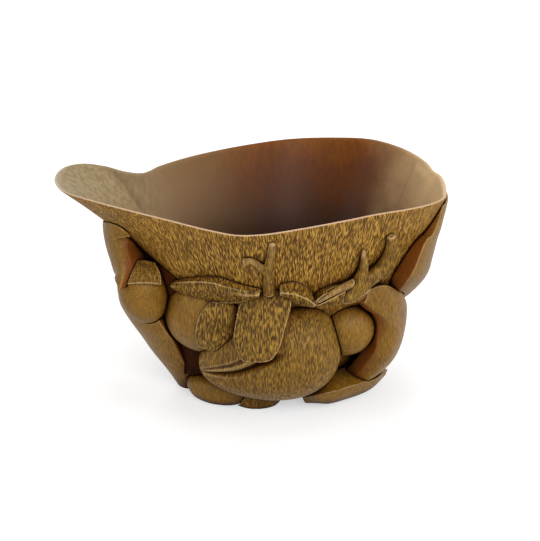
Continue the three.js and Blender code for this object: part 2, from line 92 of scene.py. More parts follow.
# The low fold inside the right end, in shares of the way round the mouth
FOLD_AT = 0.135
FOLD_RISE = 0.09
FOLD_TOP = 0.01
FOLD_FALL = 0.008
FOLD_HEIGHT = 1.1

# The fold grows between the first two of these shares of the wall's height, and dies away above the last
FOLD_STARTS, FOLD_FULL, FOLD_ENDS = 0.7, 0.9, 0.955

# What a leaf has unless its row says otherwise
UNDERCUT = 0.85
BORDER_HEIGHT = 0.5

# Shares of the spout's reach and of half the width, and the drop below the spout's tip
MOUTH_OUTLINE = [
    (0.7, -0.09, 5.0), (0.703, 0.1, 4.4), (0.692, 0.195, 3.9), (0.668, 0.265, 3.4), (0.649, 0.395, 2.6),
    (0.606, 0.555, 1.8), (0.534, 0.74, 1.3), (0.409, 0.921, 1.0), (0.239, 1.0, 1.5),
    (0.027, 0.992, 2.0), (-0.169, 0.876, 2.5), (-0.345, 0.731, 3.2), (-0.473, 0.616, 4.2),
    (-0.578, 0.475, 5.0), (-0.643, 0.376, 6.0), (-0.718, 0.351, 5.0), (-0.811, 0.364, 3.0),
    (-0.911, 0.293, 0.8), (-0.981, 0.15, 0), (-1, -0.124, 0), (-0.944, -0.372, 0.4),
    (-0.824, -0.529, 0.8), (-0.682, -0.632, 2.2), (-0.493, -0.758, 4.0), (-0.315, -0.901, 5.2),
    (-0.201, -0.979, 5.5), (-0.088, -0.988, 5.0), (0.07, -0.926, 4.0), (0.234, -0.835, 3.0),
    (0.374, -0.723, 2.6), (0.514, -0.591, 3.1), (0.619, -0.421, 4.2), (0.682, -0.252, 5.0),
]

# Small mathematics


def vec(*values):
    return np.array(values, float)


def unit(v):
    return v / max(np.linalg.norm(v), 1e-12)


def lerp(a, b, t):
    return a + (b - a) * t


def smoothstep(x, low, high):
    t = min(max((x - low) / (high - low), 0.0), 1.0)
    return t * t * (3 - 2 * t)


class Spline:
    """The same centripetal spline that the solids use."""

    def __init__(self, points, closed=False):
        self.points = [np.array(p, float) for p in points]
        self.closed = closed

    def point(self, t):
        pts, n = self.points, len(self.points)
        place = (n if self.closed else n - 1) * t
        k = math.floor(place)
        share = place - k
        if self.closed:
            p0, p1, p2, p3 = (pts[(k + i) % n] for i in (-1, 0, 1, 2))
        else:
            if k >= n - 1:
                k, share = n - 2, 1.0
            p1, p2 = pts[k], pts[k + 1]
            p0 = pts[k - 1] if k > 0 else 2 * pts[0] - pts[1]
            p3 = pts[k + 2] if k + 2 < n else 2 * pts[-1] - pts[-2]
        d0, d1, d2 = (max(np.sum((b - a) ** 2), 0.0) ** 0.25 for a, b in ((p0, p1), (p1, p2), (p2, p3)))
        d1 = 1.0 if d1 < 1e-4 else d1
        d0 = d1 if d0 < 1e-4 else d0
        d2 = d1 if d2 < 1e-4 else d2
        m1 = ((p1 - p0) / d0 - (p2 - p0) / (d0 + d1) + (p2 - p1) / d1) * d1
        m2 = ((p2 - p1) / d1 - (p3 - p1) / (d1 + d2) + (p3 - p2) / d2) * d1
        c2 = -3 * p1 + 3 * p2 - 2 * m1 - m2
        c3 = 2 * p1 - 2 * p2 + m1 + m2
        return p1 + share * (m1 + share * (c2 + share * c3))

    def tangent(self, t):
        step = 1e-4
        if self.closed:
            return unit(self.point((t + step) % 1.0) - self.point((t - step) % 1.0))
        return unit(self.point(min(t + step, 1.0)) - self.point(max(t - step, 0.0)))


def loft(start, rings, end):
    """Vertices and faces of a closed solid through a stack of rings, with a pole at each end."""
    sides = len(rings[0])
    verts = np.vstack([start, *rings, end])
    last = len(verts) - 1
    faces = []
    for k in range(sides):
        n = (k + 1) % sides
        faces.append((0, 1 + n, 1 + k))
        faces.append((last, 1 + (len(rings) - 1) * sides + k, 1 + (len(rings) - 1) * sides + n))
    for r in range(len(rings) - 1):
        low, high = 1 + r * sides, 1 + (r + 1) * sides
        faces += [(low + k, low + (k + 1) % sides, high + (k + 1) % sides, high + k) for k in range(sides)]
    return verts, faces


def mesh_object(name, verts, faces):
    """A mesh object with its faces turned outwards."""
    mesh = bpy.data.meshes.new(name)
    mesh.from_pydata([tuple(v) for v in verts], [], faces)
    mesh.update()
    mesh.calc_loop_triangles()
    tris = np.array([t.vertices[:] for t in mesh.loop_triangles])
    a, b, c = (np.asarray(verts, float)[tris[:, i]] for i in range(3))
    if np.einsum("ij,ij->i", a, np.cross(b, c)).sum() < 0:
        mesh.flip_normals()
    obj = bpy.data.objects.new(name, mesh)
    bpy.context.scene.collection.objects.link(obj)
    return obj


# The bowl

mouth = Spline([(x * SPOUT_REACH, y * MOUTH_HALF_WIDTH, CUP_HEIGHT - drop) for x, y, drop in MOUTH_OUTLINE],
               closed=True)


def mouth_point(turn):
    rim, along = mouth.point(turn), mouth.tangent(turn)
    return rim, unit(vec(-along[1], along[0], 0))


def foot_radius(angle):
    reach = BOWL_FOOT_LEFT if math.cos(angle) < 0 else BOWL_FOOT_RIGHT
    return 1 / math.hypot(math.cos(angle) / reach, math.sin(angle) / BOWL_FOOT_HALF_WIDTH)


def flank_point(rim_point, share, inset=0.0):
    rim, inward = rim_point
    angle = math.atan2(rim[1], rim[0])
    rim_radius = math.hypot(rim[0], rim[1])
    flare = lerp(BOWL_FLARE, SPOUT_FLARE, smoothstep(rim_radius, SPOUT_START_RADIUS, SPOUT_REACH))
    radius = lerp(foot_radius(angle), rim_radius, share**flare)
    height = lerp(BOWL_BOTTOM + BOWL_FOOT_RISE, rim[2], share)
    out = vec(math.cos(angle), math.sin(angle), 0)
    way = unit(lerp(-out, inward, share))
    return out * radius + vec(0, 0, height) + way * inset


def bottom_rings(rims, margin, count):
    rings = []
    for i in range(1, count):
        turn = 90 * i / count
        out, up = math.sin(math.radians(turn)), BOWL_FOOT_RISE * (1 - math.cos(math.radians(turn)))
        ring = []
        for rim, _ in rims:
            angle = math.atan2(rim[1], rim[0])
            radius = (foot_radius(angle) + margin) * out
            ring.append(vec(radius * math.cos(angle), radius * math.sin(angle), BOWL_BOTTOM - margin + up))
        rings.append(np.array(ring))
    return rings


def fold_depth(turn):
    """How far the right end's lobe laps over the back wall inside."""
    rise = smoothstep(turn, FOLD_AT - FOLD_RISE, FOLD_AT - FOLD_TOP)
    fall = smoothstep(turn, FOLD_AT, FOLD_AT + FOLD_FALL)
    return FOLD_HEIGHT * rise * (1 - fall)


def make_bowl():
    """The wall in high detail, with the rim rounded over. Also gives the rim's first ring."""
    rims = [mouth_point(i / MOUTH_STEPS) for i in range(MOUTH_STEPS)]
    rings = bottom_rings(rims, 0, 8)
    for share in np.linspace(0, RIM_SHARE, FLANK_RINGS):
        rings.append(np.array([flank_point(r, share) for r in rims]))
    rim_start = len(rings)
    for turn in np.linspace(0, 180, 9)[1:-1]:
        inset = LIP_THICKNESS * 0.5 * (1 - math.cos(math.radians(turn)))
        share = RIM_SHARE + LIP_SHARE * math.sin(math.radians(turn))
        rings.append(np.array([flank_point(r, share, inset) for r in rims]))
    folds = [fold_depth(i / MOUTH_STEPS) for i in range(MOUTH_STEPS)]
    for share in np.linspace(RIM_SHARE, WELL_SHARE, HOLLOW_RINGS):
        inset = lerp(WALL_THICKNESS, LIP_THICKNESS, smoothstep(share, 0.5, 1))
        held = smoothstep(share, FOLD_STARTS, FOLD_FULL) * (1 - smoothstep(share, FOLD_ENDS, RIM_SHARE))
        rings.append(np.array([flank_point(r, share, inset + held * f) for r, f in zip(rims, folds)]))
    floor_height = BOWL_BOTTOM + FLOOR_THICKNESS
    well = rings[-1]
    for turn in WELL_TURNS:
        out, up = math.sin(math.radians(turn)), math.cos(math.radians(turn))
        ring = well * vec(out, out, 1)
        ring[:, 2] = lerp(well[:, 2], floor_height, up)
        rings.append(ring)
    verts, faces = loft(vec(0, 0, BOWL_BOTTOM), rings, vec(0, 0, floor_height))
    return verts, faces, rim_start


def bowl_envelope(margin):
    """The bowl's outer shape without its hollow, grown by a margin, to cut the motifs with."""
    rims = [mouth_point(i / ENVELOPE_STEPS) for i in range(ENVELOPE_STEPS)]
    rings = bottom_rings(rims, margin, 6)
    for share in np.linspace(0, 1, 30):
        rings.append(np.array([flank_point(r, share, -margin * 1.2) for r in rims]))
    return loft(vec(0, 0, BOWL_BOTTOM - margin), rings, vec(0, 0, rims[0][0][2]))


# What the motifs are laid out on

TABLE_STEPS = 720
rim_table = [mouth_point(i / TABLE_STEPS) for i in range(TABLE_STEPS)]
rim_angles = np.array([math.atan2(r[0][1], r[0][0]) for r in rim_table])


class OnBowl:
    """Rows of angle, height and distance from the flank. The lean turns a motif's face downwards."""

    def __init__(self, lean):
        self.lean = lean

    def point(self, angle, height, proud):
        a = math.radians(angle)
        rim = rim_table[int(np.argmax(np.cos(rim_angles - a)))]
        start = BOWL_BOTTOM + BOWL_FOOT_RISE
        share = min(max((height - start) / (rim[0][2] - start), 0), 1)
        flank = flank_point(rim, share)
        radius = math.hypot(flank[0], flank[1]) + proud
        return vec(radius * math.cos(a), radius * math.sin(a), height)

    def focus(self, p):
        return vec(0, 0, p[2] + self.lean * math.hypot(p[0], p[1]))


class Around:
    """Rows of angle, height and distance from an upright line."""

    def __init__(self, along, across, lift):
        self.x, self.y, self.lift = along * SPOUT_REACH, across * MOUTH_HALF_WIDTH, lift

    def point(self, angle, height, radius):
        a = math.radians(angle)
        return vec(self.x + radius * math.cos(a), self.y + radius * math.sin(a), height)

    def focus(self, p):
        return vec(self.x, self.y, p[2] + self.lift)


wall = OnBowl(0.6)
nest = OnBowl(0.18)
under_spout = Around(-0.543, -0.186, 2)
left_side = Around(-0.35, -0.083, 6)
back_left_side = Around(-0.187, 0, 8)


class OnFruit:
    """Rows of azimuth, elevation and distance from a fruit's skin."""

    def __init__(self, fruit):
        self.fruit = fruit
        self.axes = fruit_axes(fruit)

    def point(self, azimuth, elevation, proud):
        a, e = math.radians(azimuth), math.radians(elevation)
        way = vec(math.cos(e) * math.cos(a), math.cos(e) * math.sin(a), math.sin(e))
        reach = 1 / math.sqrt(sum((way @ axis / r) ** 2 for axis, r in zip(self.axes, self.fruit["radii"])))
        return way * (reach + proud) + wall.point(*self.fruit["at"])

    def focus(self, p):
        return wall.point(*self.fruit["at"])


def fruit_axes(fruit):
    stalk = -unit(vec(*fruit["tip_toward"]))
    cleft = vec(*fruit["cleft_toward"])
    cleft = unit(cleft - stalk * (cleft @ stalk))
    return cleft, np.cross(stalk, cleft), stalk


# The makers of fruit, leaves and branches


FOLD_TURN = -0.28


def cleft_profile(turn):
    """A broad dip with a sharp crease in its middle and a lesser one beside it."""
    fold = 0.3 * np.exp(-(((turn - FOLD_TURN) / 0.05) ** 2))
    return 0.4 * np.exp(-((turn / 0.3) ** 2)) + 0.75 * np.exp(-((turn / 0.07) ** 2)) + fold


def make_fruit(fruit, margin=0.0, steps=180):
    cleft_axis, side_axis, stalk_axis = fruit_axes(fruit)
    turns = np.arange(steps) * 2 * math.pi / steps
    rounds = steps * 5 // 8
    radii, egg, depth = fruit["radii"], fruit.get("egg", 0), fruit.get("cleft", 0)
    dimple, point, sweep = fruit.get("dimple", 0), fruit.get("point", 0), fruit.get("sweep", 0)
    centre = wall.point(*fruit["at"])

    def ring(theta):
        along, waist = math.cos(theta), math.sin(theta)
        fullness = 1 + egg * along
        off = np.angle(np.exp(1j * turns)) + math.radians(sweep) * smoothstep(along, -0.6, 0.2)
        groove = depth * smoothstep(-along, -0.3, 0.05) * cleft_profile(off)
        end = math.exp(-((waist / 0.32) ** 2)) * (-dimple if along > 0 else point)
        across = waist * np.cos(turns) * (radii[0] * fullness - groove + margin)
        side = waist * np.sin(turns) * (radii[1] * fullness - groove + margin)
        lengthwise = along * (radii[2] + end + margin)
        return centre + np.outer(across, cleft_axis) + np.outer(side, side_axis) + lengthwise * stalk_axis

    rings = [ring(math.pi * k / rounds) for k in range(1, rounds)]
    poles = [ring(0)[0], ring(math.pi)[0]]
    return loft(poles[0], rings, poles[1])


def border_profile(share):
    """The thin raised border along a leaf's edges."""
    return math.exp(-(((1 - abs(share)) / 0.07) ** 2))


def make_leaf(leaf, margin=0.0, steps=64, across=48):
    on = leaf["on"]
    spine = Spline([on.point(*row[:3]) for row in leaf["rows"]])
    widths = Spline([vec(row[3], row[4], 0) for row in leaf["rows"]])
    under = leaf.get("undercut", UNDERCUT)
    border = leaf.get("border", BORDER_HEIGHT)
    edges = leaf.get("edges", (0, 0))
    rings = []
    for i in range(steps + 1):
        t = i / steps
        centre, tangent = spine.point(t), spine.tangent(t)
        focus = on.focus(centre)
        outward = unit(centre - focus)
        side = unit(np.cross(outward, tangent))
        width = widths.point(t)
        reach = np.linalg.norm(centre - focus)

        def rest(share, lift, spread):
            offset = (width[0] if share < 0 else width[1]) + margin
            bent = centre + side * offset * share * spread - focus
            return unit(bent) * (reach + lift) + focus

        shares = np.sin(np.linspace(-1, 1, across + 1) * math.pi / 2)
        bends = [edges[int(s > 0)] * s**4 - leaf["camber"] * s**2 for s in shares]
        lifts = [bend + border * border_profile(s) for s, bend in zip(shares, bends)]
        face = [rest(s, margin + lift, 1) for s, lift in zip(shares, lifts)]
        back = [rest(s, -leaf["thick"] - margin, under) for s in shares[::-1]]
        rings.append(np.array(face + back))

    def cap(t, way):
        centre = spine.point(t)
        inward = unit(on.focus(centre) - centre) * leaf["thick"] / 2
        return centre + inward + spine.tangent(t) * way * (0.6 + margin)

    return loft(cap(0, -1), rings, cap(1, 1))


def make_branch(rows, on, margin=0.0, steps=60, sides=28):
    path = Spline([on.point(*row[:3]) for row in rows])
    girth = Spline([vec(row[3], 0, 0) for row in rows])
    turns = np.arange(sides) * 2 * math.pi / sides
    rings = []
    for i in range(steps + 1):
        t = i / steps
        centre, tangent = path.point(t), path.tangent(t)
        side = unit(np.cross(centre - on.focus(centre), tangent))
        up = unit(np.cross(tangent, side))
        radius = girth.point(t)[0] + margin
        rings.append(centre + radius * (np.outer(np.cos(turns), side) + np.outer(np.sin(turns), up)))

    def cap(t, way):
        return path.point(t) + path.tangent(t) * way * (girth.point(t)[0] + margin) * 0.5

    return loft(cap(0, -1), rings, cap(1, 1))


# The motifs, in the order in which they keep their shape

front_peach = dict(at=(257.5, 24.8, -1), radii=(19.8, 19.8, 27), egg=0.27, tip_toward=(-36, -2, -10),
                   cleft_toward=(0, -1, 0), cleft=5, sweep=16, dimple=1)
left_fruit = dict(at=(212.7, 38, -7.5), radii=(18, 19, 17), tip_toward=(0.2, 0, -1),
                  cleft_toward=(-1, -0.4, 0))
right_fruit = dict(at=(314.6, 32, -1.3), radii=(11, 11, 11), tip_toward=(0.3, -0.2, -1),
                   cleft_toward=(0.6, -1, 0))
bud = dict(at=(203.7, 46.5, 11.6), radii=(9.1, 9.1, 12.3), tip_toward=(0.3, -0.1, -1),
           cleft_toward=(-0.5, -1, 0))
back_peach = dict(at=(76.5, 26, -3.4), radii=(18, 18, 24), egg=0.25, tip_toward=(30, 4, -8),
                  cleft_toward=(0, 1, 0.1), cleft=3.5, dimple=1, point=3)
back_fruit = dict(at=(142.8, 33, -4.7), radii=(16, 16, 15), tip_toward=(0, 0.2, -1),
                  cleft_toward=(-1, 0.4, 0))

MOTIFS = [
    ("front_peach", "fruit", front_peach),
    ("right_fruit", "fruit", right_fruit),
    ("left_fruit", "fruit", left_fruit),
    ("curled_leaf", "leaf", dict(on=under_spout, thick=16, camber=1, undercut=0.75, edges=(0, -3.5), rows=[
        (206, 76, 20, 8, 11), (206, 70, 21.4, 12, 14), (209, 64, 21.4, 12, 13.5),
        (223, 60, 22.3, 9, 8.5), (236, 56.8, 24.4, 5, 4.4), (240.5, 51.2, 27.4, 0.8, 0.8)])),
    ("bud", "fruit", bud),
    ("back_peach", "fruit", back_peach),
    ("back_fruit", "fruit", back_fruit),
    ("centre_leaf", "leaf", dict(on=OnFruit(front_peach), thick=12, camber=1.4, edges=(1.2, 1.6), rows=[
        (268, 70, 12.5, 6, 9), (263, 62, 10, 8.6, 10), (259, 52, 6.8, 9.8, 10),
        (254, 40, 4.4, 9.2, 10.8), (249, 27, 3.2, 7.4, 10), (244, 14, 2.6, 0.8, 0.8)])),
    ("small_leaf", "leaf", dict(on=wall, thick=9, camber=0.4, rows=[
        (267, 54.3, 4.6, 1, 1), (273, 53.4, 6, 2.2, 1.6), (278, 51.2, 6.6, 2.4, 1.8),
        (284, 48.2, 6.4, 0.8, 0.8)])),
    ("folded_leaf", "leaf", dict(on=wall, thick=7, camber=0.8, edges=(0.6, -1), rows=[
        (213, 50, 4, 1, 1), (219.6, 50.5, 4.4, 5, 3), (227, 52, 4.8, 6.5, 3.6), (236, 53.4, 5, 7, 3.8),
        (244, 53.4, 4.8, 5.6, 2.6), (251, 53.2, 4.2, 3.4, 1.6), (257, 53.4, 3.4, 1, 0.8)])),
    ("draped_leaf", "leaf", dict(on=OnFruit(left_fruit), thick=5, camber=0.8, edges=(-0.8, 0), rows=[
        (284, 36, 2.8, 1.5, 13), (283, 24, 2.8, 5.5, 14), (281, 10, 2.6, 8.5, 14),
        (280, -6, 2.6, 9.5, 14), (280, -26, 2.4, 8, 13)])),
    ("forked_twig", "twig", dict(on=wall, shoots=[
        [(261.3, 53.5, 1, 2.3), (261.4, 59, 0.9, 1.9), (261.8, 64.5, 0.8, 1.8), (263, 70, 0.6, 1.5),
         (263.8, 75.5, 0.3, 1.2)],
        [(261.3, 62.5, 0.8, 1.6), (257.5, 66, 0.8, 1.5), (254.3, 68, 0.8, 1.5), (251.8, 67.5, 0.9, 1.7)]])),
    ("right_leaf", "leaf", dict(on=nest, thick=10, camber=1.2, undercut=0.7, edges=(-3.5, 0), border=0, rows=[
        (311.5, 46.8, 6.5, 2, 4), (319, 43.4, 8, 4, 8.5), (323.5, 38.5, 10, 2.8, 11.5),
        (327.5, 33.5, 11.5, 4.4, 14), (330, 27.5, 13.5, 7.5, 16.5), (329.5, 20, 15, 8, 18),
        (326, 13, 14, 5, 15), (322, 6, 10, 2.5, 8)])),
    ("thorn_twig", "twig", dict(on=wall, shoots=[
        [(302.5, 47.5, 3.4, 1.6), (305, 50.5, 3.6, 3), (308.5, 54.5, 3.2, 2.8), (310, 60, 2.2, 1.8),
         (308.4, 67.6, 1.2, 0.6)],
        [(303, 48.5, 3.4, 1.8), (307, 51.5, 3.6, 3), (313, 54.7, 3.2, 3), (318.5, 57.3, 2.4, 2.9),
         (321.6, 61.5, 1.9, 2.6), (322.2, 67, 1.2, 2.2), (320.8, 71.5, 0.7, 1.7)]])),
    ("stem", "twig", dict(on=wall, shoots=[
        [(286, 48.4, 3.6, 0.6), (290, 50.5, 3.9, 1), (296, 53, 4, 1.3), (301, 54.3, 3.8, 1.5),
         (306, 55, 3.2, 1.6)]])),
    ("right_top_leaf", "leaf", dict(on=nest, thick=12, camber=0.6, edges=(-0.8, 0), rows=[
        (284, 47.5, 4.5, 1, 1), (291.6, 49.8, 5.2, 3.4, 3), (299.3, 50.2, 5, 4.6, 3.6),
        (308, 49.8, 5, 4.6, 3.4), (316, 48.5, 5.6, 2.5, 2)])),
    ("bud_leaf", "leaf", dict(on=left_side, thick=22, camber=0.8, border=0, rows=[
        (226, 64, 25, 14, 2), (230, 57, 25, 17, 5), (235, 48, 25, 14, 8), (237, 39, 24, 9, 12),
        (237, 29, 21, 8, 13), (236, 20, 18, 7, 13), (236, 8, 14.5, 6, 12)])),
    ("left_base_leaf", "leaf", dict(on=left_side, thick=10, camber=2.5, edges=(0, -1.5), rows=[
        (196, 45, 34, 8, 8), (198, 38, 34, 13, 19), (201, 31, 31, 14, 22), (203, 24, 27, 14, 20.5),
        (206, 16, 22.6, 12, 16), (209, 8, 17.6, 9, 11), (212, -3, 11.5, 7, 7)])),
    ("bud_calyx", "leaf", dict(on=OnFruit(bud), thick=4, camber=0.2, rows=[
        (272, 84, 1.4, 5, 5), (272, 60, 1.6, 8.5, 8.5), (272, 40, 1.3, 9.5, 9.5)])),
    ("outer_petal", "leaf", dict(
        on=OnBowl(0.1), thick=10, camber=0.5, undercut=0.9, edges=(-1.5, -5), border=0, rows=[
            (2, 76, 2, 16, 15), (2, 69, 4, 18, 17), (1, 61, 6, 22.5, 18), (-2, 53, 7.8, 27, 18),
            (-5, 45.5, 9.2, 27, 17), (-8, 39, 7, 19, 12), (-11, 34.5, 3.5, 9, 5)])),
    ("back_leaf", "leaf", dict(on=OnFruit(back_peach), thick=6, camber=1.2, edges=(1.2, 1.2), rows=[
        (96, 66, 3.4, 2, 2), (96, 52, 3.4, 8, 8), (94, 38, 3.2, 11, 11), (90, 24, 3, 10, 10),
        (86, 10, 2.8, 6, 6), (83, 0, 2.6, 0.8, 0.8)])),
    ("back_draped_leaf", "leaf", dict(on=OnFruit(back_fruit), thick=6, camber=0.6, rows=[
        (150, 34, 3, 1, 1), (128, 46, 3.4, 5, 5), (104, 50, 3.6, 7, 7), (80, 46, 3.6, 6, 6),
        (62, 36, 3.2, 1, 1)])),
    ("back_twig", "twig", dict(on=wall, shoots=[
        [(112, 47, 1.4, 2.9), (108, 54, 1.4, 2.5), (103, 61, 1.3, 2.2), (101, 68, 1.1, 1.8),
         (97, 74, 0.9, 1.4)],
        [(106, 57, 1.3, 2), (112, 62, 1.3, 1.9), (117, 66, 1.2, 1.8)]])),
    ("back_stem", "twig", dict(on=wall, shoots=[
        [(112, 47, 1.4, 2.6), (98, 50, 2.2, 2.5), (82, 50, 2.4, 2.5), (66, 51, 2.2, 2.2),
         (54, 55, 1.4, 1.5)]])),
    ("back_right_leaf", "leaf", dict(on=nest, thick=9, camber=1.5, edges=(-3, -3), rows=[
        (46, 54, 1, 1, 1), (42, 47, 5, 8, 8), (38, 38, 9, 13, 13), (35, 28, 11.5, 14, 14),
        (33, 17, 12, 11, 11), (33, 7, 8, 7, 7), (33, -3, 2.5, 4, 4)])),
    ("back_left_leaf", "leaf", dict(on=back_left_side, thick=10, camber=2, edges=(-3, -3), rows=[
        (146, 62, 40, 1, 1), (148, 53, 40, 9, 9), (152, 42, 38, 14, 14), (154, 31, 33.5, 15, 15),
        (155, 20, 28, 12, 12), (155, 10, 22.5, 8, 8), (155, 3, 18, 4, 4)])),
    ("right_foot_leaf", "leaf", dict(on=wall, thick=11, camber=1.2, undercut=0.5, edges=(-1, 0.6), rows=[
        (284, 3, 7.5, 3, 3), (297, 4.5, 11.5, 6, 6), (313, 5, 11.5, 7, 6), (331, 4, 10.5, 6, 5),
        (350, 2.5, 9.5, 3, 3)])),
    ("left_foot_branch", "twig", dict(on=wall, shoots=[
        [(203, 4.5, 5.5, 3.4), (211, 4.4, 6.5, 5), (221, 4.6, 6.8, 5.4), (231, 5, 5, 5.2),
         (240, 8, -2, 4)]])),
    ("centre_foot", "twig", dict(on=wall, shoots=[
        [(232, 2, 4.5, 3), (244, 2.4, 4.8, 4.2), (256, 3, 2.5, 4.2), (264, 6, -3, 3.2)]])),
    ("back_foot_leaf", "leaf", dict(on=wall, thick=14, camber=1.2, edges=(-1, 0.6), rows=[
        (112, 4, 8, 2, 3), (98, 6, 12, 6, 6), (82, 6.5, 13, 7, 6), (66, 5, 11.5, 6, 5),
        (50, 3, 9.5, 3, 3)])),
    ("back_foot_branch", "twig", dict(on=wall, shoots=[
        [(183, 4, -0.5, 4), (172, 4.5, 0, 4.6), (158, 4.8, 2.5, 5), (142, 5, 3.5, 5.4),
         (128, 5.5, 1.5, 5), (116, 8, -3.5, 4)]])),
]


# Solids in Blender: each motif is cut by the bowl and by the motifs before it, then softened as by polishing


def raw_objects(name, kind, shape, margin=0.0):
    if kind == "fruit":
        return [mesh_object(name, *make_fruit(shape, margin))]
    if kind == "leaf":
        return [mesh_object(name, *make_leaf(shape, margin))]
    return [mesh_object(name, *make_branch(rows, shape["on"], margin)) for rows in shape["shoots"]]


def corners(obj):
    co = np.array([v.co for v in obj.data.vertices])
    return co.min(0), co.max(0)


def meet(a, b):
    return bool(np.all(a[0] < b[1]) and np.all(b[0] < a[1]))


def add_boolean(obj, other, operation):
    step = obj.modifiers.new(operation.title(), "BOOLEAN")
    step.operation = operation
    step.solver = "MANIFOLD"
    step.object = other


def baked(obj):
    """The object's mesh with its modifiers applied."""
    bpy.context.view_layer.update()
    graph = bpy.context.evaluated_depsgraph_get()
    mesh = bpy.data.meshes.new_from_object(obj.evaluated_get(graph))
    obj.modifiers.clear()
    obj.data = mesh
    return obj


def drop(obj):
    bpy.data.objects.remove(obj)


def largest_island(obj):
    """Offcuts that a cut frees from a motif fall away."""
    mesh = obj.data
    parent = list(range(len(mesh.vertices)))

    def root(i):
        while parent[i] != i:
            parent[i] = parent[parent[i]]
            i = parent[i]
        return i

    for edge in mesh.edges:
        a, b = root(edge.vertices[0]), root(edge.vertices[1])
        if a != b:
            parent[a] = b
    roots = np.array([root(i) for i in range(len(parent))])
    names, counts = np.unique(roots, return_counts=True)
    if len(names) == 1:
        return
    keep = names[np.argmax(counts)]
    kept = np.flatnonzero(roots == keep)
    place = {int(old): new for new, old in enumerate(kept)}
    faces = [[place[v] for v in p.vertices] for p in mesh.polygons if p.vertices[0] in place]
    verts = [mesh.vertices[int(i)].co[:] for i in kept]
    obj.data = bpy.data.meshes.new(mesh.name)
    obj.data.from_pydata(verts, [], faces)


def soften(obj, voxel=VOXEL, steps=SMOOTH_STEPS):
    remesh = obj.modifiers.new("Remesh", "REMESH")
    remesh.mode = "VOXEL"
    remesh.voxel_size = voxel
    smooth = obj.modifiers.new("Smooth", "SMOOTH")
    smooth.factor = 0.5
    smooth.iterations = steps
    return baked(obj)


def place(obj, shift):
    """From millimetres about the horn's axis to the row frame in metres."""
    mesh = obj.data
    co = np.empty(len(mesh.vertices) * 3, np.float32)
    mesh.vertices.foreach_get("co", co)
    co = (co.reshape(-1, 3) + np.array([shift[0], shift[1], 0])) * MM
    co = np.clip(co, np.array(cad_box[0]), np.array(cad_box[1]))
    mesh.vertices.foreach_set("co", co.astype(np.float32).ravel())
    mesh.polygons.foreach_set("use_smooth", np.ones(len(mesh.polygons), bool))
    mesh.update()


def mark_edges(obj, rounds=2):
    """Keeps how sharply the surface bends, per millimetre: above 0 on ridges, below 0 in grooves."""
    mesh = obj.data
    count = len(mesh.vertices)
    co, normals = np.empty(count * 3), np.empty(count * 3)
    mesh.vertices.foreach_get("co", co)
    mesh.vertex_normals.foreach_get("vector", normals)
    co, normals = co.reshape(-1, 3), normals.reshape(-1, 3)
    ends = np.empty(len(mesh.edges) * 2, np.int32)
    mesh.edges.foreach_get("vertices", ends)
    a, b = ends[0::2], ends[1::2]
    neighbours = np.maximum(np.bincount(a, minlength=count) + np.bincount(b, minlength=count), 1)

    def around(values):
        total = np.bincount(a, values[b], count) + np.bincount(b, values[a], count)
        return total / neighbours

    mean = np.stack([around(co[:, i]) for i in range(3)], axis=1)
    spacing = np.linalg.norm(co[a] - co[b], axis=1).mean()
    bend = ((co - mean) * normals).sum(axis=1) * 2 / spacing**2
    for _ in range(rounds):
        bend = (bend + around(bend)) / 2
    mesh.attributes.new("bend", "FLOAT", "POINT").data.foreach_set("value", bend.astype(np.float32))


def make_motifs():
    sides = (-GROUND_REACH, GROUND_REACH)
    ground_verts = [(x, y, z) for x in sides for y in sides for z in (-GROUND_DEPTH, 0)]
    ground_faces = [(0, 1, 3, 2), (4, 6, 7, 5), (0, 4, 5, 1), (2, 3, 7, 6), (0, 2, 6, 4), (1, 5, 7, 3)]
    ground = mesh_object("ground", ground_verts, ground_faces)
    envelope = mesh_object("envelope", *bowl_envelope(SEAM))
    cutters = [(ground, corners(ground)), (envelope, corners(envelope))]
    pieces = {}
    for name, kind, shape in MOTIFS:
        parts = raw_objects(name, kind, shape)
        piece = parts[0]
        for other in parts[1:]:
            add_boolean(piece, other, "UNION")
        box = corners(piece)
        for other in parts[1:]:
            low, high = corners(other)
            box = (np.minimum(box[0], low), np.maximum(box[1], high))
        for cutter, cutter_box in cutters:
            if meet(box, cutter_box):
                add_boolean(piece, cutter, "DIFFERENCE")
        baked(piece)
        for other in parts[1:]:
            drop(other)
        largest_island(piece)
        soften(piece)
        mark_edges(piece)
        pieces[name] = piece
        for cutter in raw_objects(name + "_cutter", kind, shape, SEAM):
            cutters.append((cutter, corners(cutter)))
    for cutter, _ in cutters:
        drop(cutter)
    return pieces


# Materials


